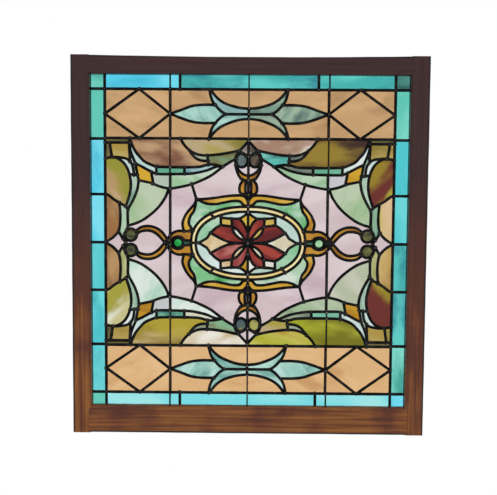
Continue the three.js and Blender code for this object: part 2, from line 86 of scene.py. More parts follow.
# Each lead is drawn for the upper right quarter: the mirrors that repeat it, and where it runs.
lead_plan = {
    # border and its tiles
    "border upright": ("x", [(BORDER_X, EDGE_BOTTOM), (BORDER_X, EDGE_TOP)]),
    "border level": ("y", [(-EDGE_X, BORDER_Y), (EDGE_X, BORDER_Y)]),
    "border tick, end": ("xy", [(151, BORDER_Y), (151, 369)]),
    "border tick, low": ("xy", [(BORDER_X, 106), (EDGE_X, 106)]),
    "border tick, high": ("xy", [(BORDER_X, 227.5), (EDGE_X, 227.5)]),
    "border tick, middle": ("x", [(BORDER_X, 0), (EDGE_X, 0)]),
    # bands with their diamonds and lilies
    "band": ("y", [(-BORDER_X, BAND), (BORDER_X, BAND)]),
    "band upright": ("xy", [(173, BAND), (173, BORDER_Y)]),
    "diamond": ("xy", [(173, 282.3), (241.5, BORDER_Y)], [(241.5, BORDER_Y), (BORDER_X, 281.5)],
                [(BORDER_X, 281.5), (241.5, BAND)], [(241.5, BAND), (173, 282.3)]),
    "lily, upper horn": ("xy", [(0, 294), (20, 296), (40, 301), (55, 307), (70, 318), (84, BORDER_Y)]),
    "lily, lower horn": ("xy", [(0, 272), (20, 270), (40, 264), (60, 255), (75, 243), (86, BAND)]),
    "lily, between horns": ("xy", [(0, 282), (52, 282)]),
    "lily, upper throat": ("xy", [(50, 282), (60, 288), (70, 298), (78, 308), (83, 320), (86, BORDER_Y)]),
    "lily, lower throat": ("xy", [(50, 282), (60, 276), (70, 266), (80, 252), (87, BAND)]),
    "lily, upper bud": ("xy", [(74, 302), (100, 302), (125, 299), (150, 290), (173, 282.3)]),
    "lily, lower bud": ("xy", [(73, 263), (100, 262.5), (125, 265.5), (150, 273.5), (173, 282.3)]),
    "lily, middle": ("y", [(0, 272), (0, 294)]),
    # leaves, ribbon and crescent
    "inner leaf": ("xy", [(22, 203), (50, 197), (80, 193), (105, 193), (125, 200), (140, 213), (150, 228)]),
    "crescent, inside": ("xy", [(28, 185), (50, 172), (66, 160), (80, 149.5), (100, 139), (123.5, 129.5),
                                (150, 123),
                                (172.5, 119.5), (185, 121), (200, 125), (214, 131)]),
    "sail head": ("xy", [(214, 131), (243, 137)]),
    "ribbon, outside": ("xy", [(58, 169), (78, 172.5), (93, 171), (110, 167), (150, 166), (200, 167),
                               (215, 171),
                               (230, 178), (240, 188), (250, 200), (258, 216), (262, BAND)]),
    "ribbon, inside": ("xy", [(58, 168), (70, 168), (90, 160), (110, 155), (130, 152), (165, 151),
                              (200, 151),
                              (213, 155), (225, 161), (238, 168), (250.5, 174)]),
    "under leaf end": ("xy", [(88, 172), (90, 193)]),
    "lens": ("xy", [(89, 180), (104, 181), (117, 187), (127, 198), (132, 206)]),
    "ribbon, first joint": ("xy", [(141, 151), (141, 166)]),
    "ribbon, second joint": ("xy", [(204, 151), (204, 167)]),
    "crescent end": ("xy", [(211, 131), (215, 154)]),
    "crescent upright": ("xy", [(173, 119), (173, 151)]),
    "ribbon tip": ("xy", [(243, 137), (246, 150), (250.5, 174), (257, 190), (262, 207), (263, BAND)]),
    # side leaf with the amber piece over it
    "amber, left": ("xy", [(262, 177), (264, 219)]),
    "amber, right": ("xy", [(302, 189), (307, 222)]),
    "amber, top": ("xy", [(262, 219), (BORDER_X, 219)]),
    "strip, over leaf": ("xy", [(253.5, 149), (257, 170), (268, 183), (288, 187), (299, 187)]),
    "strip, top": ("xy", [(246, 148), (261, 150)]),
    "side leaf, back": ("xy", [(BORDER_X, 184), (297, 187), (278, 177), (266, 158), (260.5, 132),
                               (263, 107), (272, 79)]),
    "side leaf, foot": ("xy", [(267, 72), (272, 79), (285, 87), (297, 94), (310, 104), (BORDER_X, 106)]),
    # sail, dagger and half-round
    "sail, outside": ("xy", [(243, 137), (246, 118), (252, 101), (259, 87), (267, 72), (267.5, 55),
                             (267, 37)]),
    "sail, inside": ("xy", [(177, 117), (184, 100), (197, 81), (212, 66), (232, 51), (248, 43), (267, 37)]),
    "dagger": ("xy", [(267, 37), (271, 24), (277, 13), (278, 10)]),
    "half-round": ("xy", [(286, 88), (284, 65), (284, 48), (285.5, 34), (288, 24)]),
    "half-round foot": ("xy", [(288, 24), (292, 19), (301, 10), (312, 3), (BORDER_X, 1)]),
    "side diamond": ("xy", [(272, 0), (279, 9), (288, 24)]),
    # pale ground
    "ground slant": ("xy", [(124, 127.5), (114.5, 97.5)]),
    "ground upright": ("xy", [(173, 17), (173, 119)]),
    # medallion ring and its scrolls
    "ring, inside": ("xy", oval(115.5, 69.5)),
    "ring, outside": ("xy", oval(126, 80.5)),
    "ring joint": ("xy", [(76, 57), (83, 65)]),
    "ring joint, upright": ("y", [(0, 69.5), (0, 82)]),
    "ring joint, level": ("x", [(115.5, 0), (126, 0)]),
    "end scroll, outside": ("xy", [(0, 92), (10, 104), (30, 105), (50, 103), (70, 100), (90, 97.5),
                                   (114, 96)]),
    "end scroll, inside": ("xy", [(0, 82), (10, 84), (18, 92), (33, 93), (55, 89), (70, 86), (85, 86),
                                  (98, 89), (112, 96)]),
    "side scroll, outside": ("xy", [(114, 96.5), (119, 85), (128, 75), (138, 62), (144.5, 47), (145, 38),
                                    (142, 26)]),
    "side scroll, inside": ("xy", [(114, 97), (119, 72), (127, 60), (131, 48), (130, 40), (125, 32),
                                   (128, 27)]),
    # ornament on the level axis
    "arch, outside": ("xy", [(119, 27), (142, 25.5), (150, 26.5), (160, 25), (169, 20), (180, 8),
                             (185, 0)]),
    "arch, inside": ("xy", [(124, 5), (131, 5), (141, 6), (146, 11), (155.5, 13.5), (165, 11), (172, 4),
                            (178, 0)]),
    "arch tip": ("x", [(178, 0), (185, 0)]),
    "jewel": ("x", circle(155.5, 0, 11, 11)),
    "loop, outside": ("xy", [(178, 5), (190, 22), (200, 30), (212, 35), (225, 36.5), (238, 34), (248, 27)]),
    "loop, inside": ("xy", [(185, 0), (194, 10), (202, 18), (214, 25), (227, 26.5), (240, 24), (246, 20)]),
    "side roundel": ("xy", circle(261, 17, 13.5, 13.5)),
    # ornament on the upright axis
    "bulb, outside": ("xy", [(10, 104), (18, 112), (19.5, 121), (17, 131), (12.6, 137.5), (20, 147),
                             (26, 160),
                             (28.5, 175), (28, 188), (22, 200), (12, 211), (0, 224)]),
    "bulb, inside": ("xy", [(6, 107), (6.5, 122), (6, 136)]),
    "bulb foot": ("xy", [(0, 107), (12, 108)]),
    "chevron, low": ("xy", [(0, 137), (8, 138.5), (14, 141)]),
    "chevron, high": ("xy", [(0, 148), (10, 151), (19, 158), (27.2, 170)]),
    "end roundel": ("xy", circle(14.5, 182, 13, 15)),
    "bulb diamond": ("xy", [(0, 189), (10, 195), (19, 202)]),
    "spine": ("y", [(0, 82), (0, 229)]),
    # flower inside the ring
    "star, top": ("xy", [(0, 68), (9, 60), (19, 54)]),
    "star, side": ("xy", [(19, 53), (11, 45), (6, 36), (0, 22)]),
    "flower stem": ("y", [(0, 0), (0, 69.5)]),
    "flower row": ("xy", [(19, 54), (37, 54), (60, 56)]),
    "square, inside": ("xy", [(36.5, 53), (35, 36)]),
    "square, foot": ("xy", [(35, 37), (48, 38), (60, 40)]),
    "square, outside": ("xy", [(60, 62), (60, 40)]),
    "petal, top": ("xy", [(0, 0), (14, 19), (24, 30), (35, 36)]),
    "petal, foot": ("xy", [(0, 0), (6, 5), (19, 11), (30, 22), (35, 36)]),
    "wide petal, outside": ("xy", [(60, 40), (70, 34), (78, 27), (85, 19), (90.5, 11), (100, 5), (108, 0)]),
    "wide petal, foot": ("xy", [(80, 21), (62, 11), (46, 4), (30, 1), (0, 0)]),
    "flower level": ("x", [(0, 0), (45, 0)]),
    "flower point": ("x", [(102, 0), (116, 0)]),
}


def smooth_course(points, spacing=4.0):
    """A lead's course through its points: straight between two, and a smooth bend through more."""
    if len(points) == 2:
        return [Vector(p) for p in points]
    ends = [Vector(p) for p in (points[0], *points, points[-1])]
    course = []
    for before, start, end, after in zip(ends, ends[1:], ends[2:], ends[3:]):
        steps = max(2, math.ceil((end - start).length / spacing))
        for t in (k / steps for k in range(steps)):
            second, third = 2 * before - 5 * start + 4 * end - after, 3 * start - before - 3 * end + after
            course.append(0.5 * (2 * start + (end - before) * t + second * t**2 + third * t**3))
    return course + [ends[-1]]


lead_courses = []
for mirrors, *runs in lead_plan.values():
    for course in map(smooth_course, runs):
        for mx, my in MIRRORS[mirrors]:
            lead_courses.append([Vector((slip(mx * p.x), my * p.y)) for p in course])
edge_corners = [Vector(p) for p in ((-EDGE_X, EDGE_BOTTOM), (EDGE_X, EDGE_BOTTOM), (EDGE_X, EDGE_TOP),
                                    (-EDGE_X, EDGE_TOP))]
edge_courses = [[a, b] for a, b in zip(edge_corners, edge_corners[1:] + edge_corners[:1])]

# The panes are what the leads leave between them: the sheet is parted along every lead's middle line.
RUN_ON = 3                           # each end of a lead runs on this far, into the lead that it meets


def part_sheet(courses):
    """The corners of the parted sheet, its panes as lists of triangles, and where leads meet."""
    points, edges = [], []
    for course in courses:
        first, closed = len(points), (course[0] - course[-1]).length < 0.01
        if closed:
            points += course[:-1]
            edges.append((len(points) - 1, first))
        else:
            start, end = (course[0] - course[1]).normalized(), (course[-1] - course[-2]).normalized()
            points += [course[0] + RUN_ON * start, *course, course[-1] + RUN_ON * end]
        edges += [(k, k + 1) for k in range(first, len(points) - 1)]
    corners, sides, triangles, _, side_leads, _ = delaunay_2d_cdt(points, edges, [], 0, 0.01)
    leads = {frozenset(side) for side, origin in zip(sides, side_leads) if origin}
    beside = {}
    for k, triangle in enumerate(triangles):
        for a, b in zip(triangle, triangle[1:] + triangle[:1]):
            beside.setdefault(frozenset((a, b)), []).append(k)
    pane_of, panes = {}, []
    for start in range(len(triangles)):
        if start in pane_of:
            continue
        pane, reached = [], [start]
        pane_of[start] = len(panes)
        while reached:
            k = reached.pop()
            pane.append(triangles[k])
            for a, b in zip(triangles[k], triangles[k][1:] + triangles[k][:1]):
                side = frozenset((a, b))
                for other in beside[side]:
                    if side not in leads and other not in pane_of:
                        pane_of[other] = len(panes)
                        reached.append(other)
        panes.append(pane)
    meetings = {}
    for a, b in (tuple(side) for side in leads):
        meetings.setdefault(a, set()).add(b)
        meetings.setdefault(b, set()).add(a)
    return corners, panes, [corners[k] for k, others in meetings.items() if len(others) > 2]


sheet_corners, panes, lead_meetings = part_sheet(lead_courses + edge_courses)


def section_curve(name, width, depth):
    """The strip's section: flat in its grooves and gently domed on both faces."""
    section = bpy.data.curves.new(name, "CURVE")
    spline = section.splines.new("POLY")
    half = [(0.5, 0.28), (0.44, 0.4), (0.3, 0.47), (0, 0.5), (-0.3, 0.47), (-0.44, 0.4), (-0.5, 0.28)]
    outline = half + [(-x, -y) for x, y in half]
    spline.points.add(len(outline) - 1)
    for point, (x, y) in zip(spline.points, outline):
        point.co = (x * width, y * depth, 0, 1)
    spline.use_cyclic_u = True
    made = bpy.data.objects.new(name, section)
    bpy.context.scene.collection.objects.link(made)
    return made


def drawn_strips(courses, width, depth):
    """A strip along every course, as one mesh in the window's place. Its width varies a little."""
    section = section_curve("strip section", width, depth)
    run = bpy.data.curves.new("strip run", "CURVE")
    run.dimensions = "2D"
    run.bevel_mode = "OBJECT"
    run.bevel_object = section
    run.use_fill_caps = True
    for course in courses:
        spline = run.splines.new("POLY")
        closed = (course[0] - course[-1]).length < 0.01
        line = course[:-1] if closed else course
        spline.points.add(len(line) - 1)
        spline.use_cyclic_u = closed
        for point, place in zip(spline.points, line):
            point.co = (place.x, place.y, 0, 1)
            point.radius = 1.0 + 0.09 * noise.noise(Vector((place.x * 0.05, place.y * 0.05, 3.1)))
    holder = bpy.data.objects.new("strip run", run)
    bpy.context.scene.collection.objects.link(holder)
    made = bpy.data.meshes.new_from_object(holder.evaluated_get(bpy.context.evaluated_depsgraph_get()))
    for spent in (holder, section):
        bpy.data.objects.remove(spent)
    made.transform(to_window)
    return made


def in_steps(course, spacing=7.0):
    """The same course with points added on its long straight lengths."""
    line = [course[0]]
    for a, b in zip(course, course[1:]):
        steps = max(1, round((b - a).length / spacing))
        line += [a.lerp(b, k / steps) for k in range(1, steps + 1)]
    return line


def place_piece(name, mesh, *replaced, slot):
    """A finished piece: it stands in the window's place, rides on it, and stands for its CAD nodes."""
    piece = bpy.data.objects.new(name, mesh)
    bpy.context.scene.collection.objects.link(piece)
    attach(piece, "root")
    if replaced:
        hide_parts(*replaced)
    return piece


def shade(mesh, material, smooth=True):
    """One material for the whole mesh."""
    mesh.materials.clear()
    mesh.materials.append(material)
    mesh.polygons.foreach_set("use_smooth", [smooth] * len(mesh.polygons))


def node_group(name, inputs, outputs):
    """An empty shader group with its named sockets, and its two end nodes."""
    group = bpy.data.node_groups.new(name, "ShaderNodeTree")
    for label, kind, value in inputs:
        socket = group.interface.new_socket(name=label, in_out="INPUT", socket_type="NodeSocket" + kind)
        if value is not None:
            socket.default_value = value
    for label, kind in outputs:
        group.interface.new_socket(name=label, in_out="OUTPUT", socket_type="NodeSocket" + kind)
    return group, group.nodes.new("NodeGroupInput"), group.nodes.new("NodeGroupOutput")


def add_node(tree, kind, links=(), **settings):
    """A node with its settings, its values by socket name or number, and its incoming links."""
    node = tree.nodes.new("ShaderNode" + kind)
    for key, value in settings.items():
        if key == "values":
            for socket, number in value.items():
                node.inputs[socket].default_value = number
        else:
            setattr(node, key, value)
    for socket, source in dict(links).items():
        tree.links.new(source, node.inputs[socket])
    return node


def new_material(name, **values):
    """A material whose Principled shader holds the values that are the same all over."""
    material = bpy.data.materials.new(name)
    material.use_nodes = True
    shader = material.node_tree.nodes["Principled BSDF"]
    for socket, value in values.items():
        shader.inputs[socket.replace("_", " ")].default_value = value
    return material, material.node_tree, shader


def build_tarnish():
    """Metal that has dulled in blotches: a mask of the blotches, their colour, and a hammered height."""
    group, given, out = node_group(
        "tarnish",
        [("Vector", "Vector", None), ("Clean", "Color", (0.1, 0.1, 0.1, 1)),
         ("Tarnished", "Color", (0.02, 0.02, 0.02, 1)),
         ("Patch size", "Float", 80.0), ("Cover", "Float", 0.5)],
        [("Color", "Color"), ("Mask", "Float"), ("Height", "Float")],
    )
    patches = add_node(group, "TexNoise", {"Vector": given.outputs["Vector"],
                                           "Scale": given.outputs["Patch size"]},
                       values={"Detail": 5.0, "Roughness": 0.6})
    cover = add_node(group, "Math", {0: patches.outputs["Fac"], 1: given.outputs["Cover"]},
                     operation="SUBTRACT")
    mask = add_node(group, "MapRange", {"Value": cover.outputs[0]},
                    values={"From Min": -0.12, "From Max": 0.12})
    colour = add_node(group, "Mix", {0: mask.outputs[0], 6: given.outputs["Clean"],
                                     7: given.outputs["Tarnished"]}, data_type="RGBA")
    fine = add_node(group, "TexNoise", {"Vector": given.outputs["Vector"]},
                    values={"Scale": 900.0, "Detail": 3.0})
    group.links.new(colour.outputs[2], out.inputs["Color"])
    group.links.new(mask.outputs[0], out.inputs["Mask"])
    group.links.new(fine.outputs["Fac"], out.inputs["Height"])
    return group


tarnish = build_tarnish()


def tarnished_metal(name, clean, tarnished, patch_size, cover, rough, rough_tarnished, **values):
    """A dull metal that takes its colour and gloss from the tarnish on it."""
    material, tree, shader = new_material(name, **values)
    place = add_node(tree, "TexCoord")
    effect = tree.nodes.new("ShaderNodeGroup")
    effect.node_tree = tarnish
    effect.inputs["Clean"].default_value = (*clean, 1)
    effect.inputs["Tarnished"].default_value = (*tarnished, 1)
    effect.inputs["Patch size"].default_value = patch_size
    effect.inputs["Cover"].default_value = cover
    tree.links.new(place.outputs["Object"], effect.inputs["Vector"])
    gloss = add_node(tree, "MapRange", {"Value": effect.outputs["Mask"]},
                     values={"To Min": rough, "To Max": rough_tarnished})
    dents = add_node(tree, "Bump", {"Height": effect.outputs["Height"]},
                     values={"Strength": 0.25, "Distance": 0.0006})
    tree.links.new(effect.outputs["Color"], shader.inputs["Base Color"])
    tree.links.new(gloss.outputs[0], shader.inputs["Roughness"])
    tree.links.new(dents.outputs[0], shader.inputs["Normal"])
    return material


old_lead = tarnished_metal("old_lead", (0.055, 0.052, 0.05), (0.012, 0.012, 0.013), patch_size=60.0,
                           cover=0.42, rough=0.38, rough_tarnished=0.62, Metallic=0.75)
solder = tarnished_metal("solder", (0.12, 0.118, 0.115), (0.03, 0.029, 0.028), patch_size=130.0, cover=0.5,
                         rough=0.3, rough_tarnished=0.5, Metallic=0.85)

came_mesh = drawn_strips([in_steps(c) for c in lead_courses], LEAD_WIDTH, LEAD_DEPTH)
shade(came_mesh, old_lead)
place_piece("lead_came_network", came_mesh, "lead_cames", slot="lead")
edge_mesh = drawn_strips([in_steps(c) for c in edge_courses], EDGE_WIDTH, LEAD_DEPTH)
shade(edge_mesh, old_lead)
place_piece("edge_cames", edge_mesh, slot="lead")

# A puddle of solder covers every joint, a little wider and prouder than the strips.
JOINT_REACH, JOINT_SPREAD, JOINT_VARIES, JOINT_RISE = 6.5, 4.3, 1.1, 3.42
joints = []
for meeting in lead_meetings:
    near = [j for j in joints if (j[0] - meeting).length < JOINT_REACH]
    if near:
        near[0][1].append(meeting)
    else:
        joints.append((meeting, [meeting]))
bm = bmesh.new()
for k, (_, met) in enumerate(joints):
    middle = sum(met, Vector((0, 0))) / len(met)
    if abs(middle.x) > EDGE_X + 1 or not EDGE_BOTTOM - 1 < middle.y < EDGE_TOP + 1:
        continue
    spread = JOINT_SPREAD + JOINT_VARIES * noise.noise(Vector((k * 1.7, 0.3, 5.2)))
    turned = Matrix.Translation((*middle, 0)) @ Matrix.Rotation(k * 2.4, 4, "Z")
    shape = turned @ Matrix.Diagonal((spread * 1.12, spread, JOINT_RISE, 1))
    bmesh.ops.create_uvsphere(bm, u_segments=12, v_segments=8, radius=1, matrix=shape)
joint_mesh = bpy.data.meshes.new("solder_joints")
bm.to_mesh(joint_mesh)
bm.free()
joint_mesh.transform(to_window)
shade(joint_mesh, solder)
place_piece("solder_joints", joint_mesh, slot="lead")

# ---------------------------------------------------------------- glass: border tiles
# The outer border is a row of plain oblong tiles in blue-green cathedral glass, cut from several
# sheets, so their tints run from cyan to sea green. They stand in the outermost leads.
GLASS_THICKNESS = 3.0


def build_rolled_glass():
    """Colour rolled into a sheet in streaks, and the ripple of its surface."""
    group, given, out = node_group(
        "rolled glass",
        [("Vector", "Vector", None), ("Main", "Color", (0.5, 0.5, 0.5, 1)),
         ("Second", "Color", (0.8, 0.8, 0.8, 1)),
         ("Third", "Color", (0.3, 0.3, 0.3, 1)), ("Size", "Float", 30.0), ("Second share", "Float", 0.5),
         ("Third share", "Float", 0.3), ("Blend", "Float", 0.12), ("Ripple size", "Float", 160.0)],
        [("Color", "Color"), ("Height", "Float")],
    )
    bend = add_node(group, "TexNoise", {"Vector": given.outputs["Vector"], "Scale": given.outputs["Size"]},
                    values={"Detail": 1.0})
    pull = add_node(group, "VectorMath", {0: bend.outputs["Color"]}, operation="SCALE",
                    values={"Scale": 0.02})
    place = add_node(group, "VectorMath", {0: given.outputs["Vector"], 1: pull.outputs[0]}, operation="ADD")
    colour = given.outputs["Main"]
    for label, detail in (("Second", 2.0), ("Third", 4.0)):
        shift = add_node(group, "VectorMath", {0: place.outputs[0]}, operation="ADD",
                         values={1: (detail, 3.0 * detail, 0.0)})
        streak = add_node(group, "TexNoise", {"Vector": shift.outputs[0], "Scale": given.outputs["Size"]},
                          values={"Detail": detail, "Roughness": 0.55})
        over = add_node(group, "Math", {0: streak.outputs["Fac"], 1: given.outputs[label + " share"]},
                        operation="ADD")
        low_end = add_node(group, "Math", {1: given.outputs["Blend"]}, operation="SUBTRACT",
                           values={0: 1.0})
        high_end = add_node(group, "Math", {1: given.outputs["Blend"]}, operation="ADD", values={0: 1.0})
        mask = add_node(group, "MapRange", {"Value": over.outputs[0], "From Min": low_end.outputs[0],
                                            "From Max": high_end.outputs[0]},
                        interpolation_type="SMOOTHSTEP")
        mixed = add_node(group, "Mix", {0: mask.outputs[0], 6: colour, 7: given.outputs[label]},
                         data_type="RGBA")
        colour = mixed.outputs[2]
    ripple = add_node(group, "TexNoise", {"Vector": given.outputs["Vector"],
                                          "Scale": given.outputs["Ripple size"]},
                      values={"Detail": 2.0, "Distortion": 0.6})
    group.links.new(colour, out.inputs["Color"])
    group.links.new(ripple.outputs["Fac"], out.inputs["Height"])
    return group


rolled_glass = build_rolled_glass()


def linear(colour):
    """A colour given as it looks, from 0 to 255, in the linear values that shaders take."""
    return (*(((c / 255 + 0.055) / 1.055) ** 2.4 if c > 10 else c / 3294.6 for c in colour), 1)


def sheet_glass(name, main, second, third, size=30.0, shares=(0.5, 0.42), blend=0.12, stretch=2.5,
                rough=0.25, ripple=160.0, relief=0.35):
    """A kind of sheet glass, from its colours as they look. Its streaks follow each pane's own cut,
    which is in the UV map: there are more to a metre with a larger size."""
    material, tree, shader = new_material(f"{name}_glass", Metallic=0.0, Roughness=rough, IOR=1.5)
    shader.inputs["Transmission Weight"].default_value = 1.0
    cut = add_node(tree, "UVMap", uv_map="cut")
    along = add_node(tree, "Mapping", {"Vector": cut.outputs[0]}, values={"Scale": (1 / stretch, 1, 1)})
    effect = tree.nodes.new("ShaderNodeGroup")
    effect.node_tree = rolled_glass
    values = {"Main": linear(main), "Second": linear(second), "Third": linear(third), "Size": size,
              "Second share": shares[0], "Third share": shares[1], "Blend": blend, "Ripple size": ripple}
    for label, value in values.items():
        effect.inputs[label].default_value = value
    tree.links.new(along.outputs[0], effect.inputs["Vector"])
    waves = add_node(tree, "Bump", {"Height": effect.outputs["Height"]},
                     values={"Strength": relief, "Distance": 0.001})
    tree.links.new(effect.outputs["Color"], shader.inputs["Base Color"])
    tree.links.new(waves.outputs[0], shader.inputs["Normal"])
    return material


def pane_at(x, y):
    """The number of the pane at a place of the design."""
    point = Vector((slip(x), y))
    for k, pane in enumerate(panes):
        for triangle in pane:
            a, b, c = (sheet_corners[i] for i in triangle)
            turns = [(q - p).cross(point - p) for p, q in ((a, b), (b, c), (c, a))]
            if min(turns) >= 0 or max(turns) <= 0:
                return k
    raise ValueError(f"no pane at {x}, {y}")


glazed = set()


def set_panes(name, node, cuts, slot):
    """One piece of glass per pane, in one mesh. A cut is a place in it, its sheet and their angle."""
    bm = bmesh.new()
    uv = bm.loops.layers.uv.new("cut")
    sheets = []
    for x, y, sheet, angle in cuts:
        number = pane_at(x, y)
        if number in glazed:
            raise ValueError(f"{name}: the pane at {x}, {y} is glazed already")
        glazed.add(number)
        if sheet not in sheets:
            sheets.append(sheet)
        corners = {}
        for k in {i for triangle in panes[number] for i in triangle}:
            corners[k] = bm.verts.new((*sheet_corners[k], -GLASS_THICKNESS / 2))
        faces = [bm.faces.new([corners[k] for k in triangle]) for triangle in panes[number]]
        raised = bmesh.ops.extrude_face_region(bm, geom=faces, use_keep_orig=True)["geom"]
        bmesh.ops.translate(bm, verts=[v for v in raised if isinstance(v, bmesh.types.BMVert)],
                            vec=(0, 0, GLASS_THICKNESS))
        bm.verts.ensure_lookup_table()
        whole = {f for v in raised if isinstance(v, bmesh.types.BMVert) for f in v.link_faces} | set(faces)
        turn = Matrix.Rotation(-math.radians(angle), 2)
        offset = Vector((number * 0.37 % 5, number * 0.71 % 5))
        for face in whole:
            face.material_index = sheets.index(sheet)
            for loop in face.loops:
                loop[uv].uv = turn @ loop.vert.co.xy * MM + offset
    bmesh.ops.recalc_face_normals(bm, faces=bm.faces)
    mesh = bpy.data.meshes.new(name)
    bm.to_mesh(mesh)
    bm.free()
    mesh.transform(to_window)
    for sheet in sheets:
        mesh.materials.append(sheet)
    return place_piece(name, mesh, node, slot=slot)


CORNERS = {"upper_left": (-1, 1), "upper_right": (1, 1), "lower_left": (-1, -1), "lower_right": (1, -1)}


def in_corner(corner, rows):
    """The cuts of one quarter, from rows of x, y, angle and either one sheet or one for each quarter."""
    mx, my = CORNERS[corner]
    which = list(CORNERS).index(corner)
    return [(mx * x, my * y, sheets[which % len(sheets)], mx * my * angle) for x, y, angle, *sheets in rows]


def in_corners(corners, rows):
    """The cuts of several quarters."""
    return [cut for corner in corners for cut in in_corner(corner, rows)]


def glaze_quarters(piece, node, rows, slot):
    """A piece of glasswork that all four quarters have."""
    for corner in CORNERS:
        set_panes(f"{piece}_{corner}", f"glass_{corner}_{node}", in_corner(corner, rows), slot)


sea_green = sheet_glass("sea_green", (98, 204, 186), (130, 222, 205), (60, 160, 150), size=14,
                        shares=(0.45, 0.4))
cyan = sheet_glass("cyan", (86, 212, 240), (125, 228, 245), (60, 185, 215), size=12, shares=(0.45, 0.38))
teal = sheet_glass("teal", (66, 180, 176), (95, 208, 200), (30, 112, 140), size=16, shares=(0.5, 0.45))
aqua = sheet_glass("aqua", (76, 203, 210), (110, 220, 222), (50, 165, 180), size=12, shares=(0.45, 0.4))
pale_cyan = sheet_glass("pale_cyan", (122, 224, 232), (165, 236, 236), (90, 200, 210), size=12,
                        shares=(0.5, 0.35))
dim_teal = sheet_glass("dim_teal", (62, 132, 124), (85, 160, 145), (35, 85, 85), size=16,
                       shares=(0.5, 0.45))

side_rows = [
    (339, 53, 90, cyan, aqua, aqua, teal),
    (339, 166, 90, cyan, aqua, aqua, teal),
    (339, 281, 90, sea_green, sea_green, aqua, sea_green),
]
for side, columns in (("left", ("upper_left", "lower_left")), ("right", ("upper_right", "lower_right"))):
    set_panes(f"border_tiles_{side}", f"glass_border_{side}", in_corners(columns, side_rows),
              "glass_border")
end_rows = [(235, 352, 0, cyan, teal, pale_cyan, pale_cyan),
            (339, 352, 0, sea_green, dim_teal, sea_green, cyan)]
for end, row in (("top", ("upper_left", "upper_right")), ("bottom", ("lower_left", "lower_right"))):
    middle_tile = [(0, 352, teal, 0)] if end == "top" else [(0, -352, pale_cyan, 0)]
    set_panes(f"border_tiles_{end}", f"glass_border_{end}", middle_tile + in_corners(row, end_rows),
              "glass_border")

# ---------------------------------------------------------------- glass: tan ground of the bands
# The bands above and below are glazed in plain tan cathedral glass with a fine stipple: a diamond
# with its four corner pieces at each end, and flat pieces round the lilies.
tan = sheet_glass("tan", (200, 160, 112), (214, 172, 122), (176, 138, 96), size=20, shares=(0.45, 0.4),
                  ripple=420.0, relief=0.6)
light_tan = sheet_glass("light_tan", (224, 180, 126), (232, 190, 138), (200, 152, 98), size=20,
                        shares=(0.45, 0.36), ripple=420.0, relief=0.6)
tan_places = ((241, 282), (190, 322), (295, 322), (190, 242), (295, 242), (130, 320), (130, 242))
tan_rows = [(x, y, 20, tan, tan, light_tan, light_tan) for x, y in tan_places]
glaze_quarters("tan_ground", "band_tan", tan_rows, "glass_tan")
for band, y, sheet in (("top", 1, tan), ("bottom", -1, light_tan)):
    for part, at in zip(("upper", "lower")[::y], (322, 245)):
        set_panes(f"tan_{band}_{part}", f"glass_{band}_band_{part}_tan", [(20, y * at, sheet, 0)],
                  "glass_tan")

# ---------------------------------------------------------------- glass: lilies of the bands
# In the middle of each band two lilies lie end to end: a pair of horns on either side and a long
# pointed bud, cut from aqua glass with pale and grey streaks.
lily_aqua = sheet_glass("lily_aqua", (150, 202, 188), (186, 226, 214), (104, 160, 150), size=26)
lily_grey = sheet_glass("lily_grey", (126, 160, 142), (160, 184, 160), (84, 112, 104), size=30,
                        shares=(0.5, 0.46))
lily_blue = sheet_glass("lily_blue", (138, 180, 176), (170, 205, 205), (96, 140, 146), size=30)
lily_rows = [
    (25, 289, 10, lily_blue, lily_grey, lily_aqua, lily_aqua),
    (25, 276, -10, lily_aqua, lily_grey, lily_aqua, lily_aqua),
    (100, 283, 60, lily_aqua, lily_grey, lily_aqua, lily_aqua),
]
for band, row in (("top", ("upper_left", "upper_right")), ("bottom", ("lower_left", "lower_right"))):
    set_panes(f"lily_{band}", f"glass_{band}_band_lily", in_corners(row, lily_rows), "glass_lily")

# ---------------------------------------------------------------- glass: leaves
# Under each band lie broad pointed leaves of opalescent glass, in which brown, olive, pink and white
# were stirred together. A narrow inner leaf, a small lens and an under leaf close the tip.
olive_brown = sheet_glass("olive_brown", (180, 152, 60), (196, 160, 120), (126, 82, 62), size=11,
                          shares=(0.5, 0.48), blend=0.07, rough=0.35)
dark_brown = sheet_glass("dark_brown", (96, 66, 34), (150, 126, 44), (60, 36, 30), size=12,
                         shares=(0.46, 0.46), blend=0.07, rough=0.35)
yellow_olive = sheet_glass("yellow_olive", (178, 160, 48), (206, 180, 130), (140, 118, 30), size=11,
                           shares=(0.5, 0.45), blend=0.08, rough=0.35)
lime_olive = sheet_glass("lime_olive", (160, 168, 24), (186, 186, 60), (120, 116, 20), size=11,
                         shares=(0.46, 0.45), blend=0.1, rough=0.35)
lime_tan = sheet_glass("lime_tan", (172, 158, 70), (188, 168, 128), (130, 120, 50), size=16,
                       shares=(0.5, 0.42), blend=0.08, rough=0.35)
milk_tan = sheet_glass("milk_tan", (196, 178, 150), (232, 228, 216), (168, 132, 110), size=16,
                       shares=(0.5, 0.46), blend=0.08, rough=0.4)
milk_cream = sheet_glass("milk_cream", (220, 208, 178), (240, 236, 224), (196, 172, 118), size=16,
                         shares=(0.52, 0.42), blend=0.1, rough=0.4)
lime_amber = sheet_glass("lime_amber", (176, 176, 48), (200, 196, 92), (176, 128, 30), size=14,
                         shares=(0.48, 0.45), blend=0.1, rough=0.35)
sage_grey = sheet_glass("sage_grey", (134, 150, 126), (166, 176, 150), (96, 108, 100), size=30,
                        shares=(0.5, 0.45))
under_green = sheet_glass("under_green", (118, 170, 132), (150, 190, 150), (110, 106, 60), size=26,
                          shares=(0.5, 0.46))
under_teal = sheet_glass("under_teal", (86, 186, 174), (128, 214, 204), (60, 110, 96), size=26,
                         shares=(0.5, 0.44))
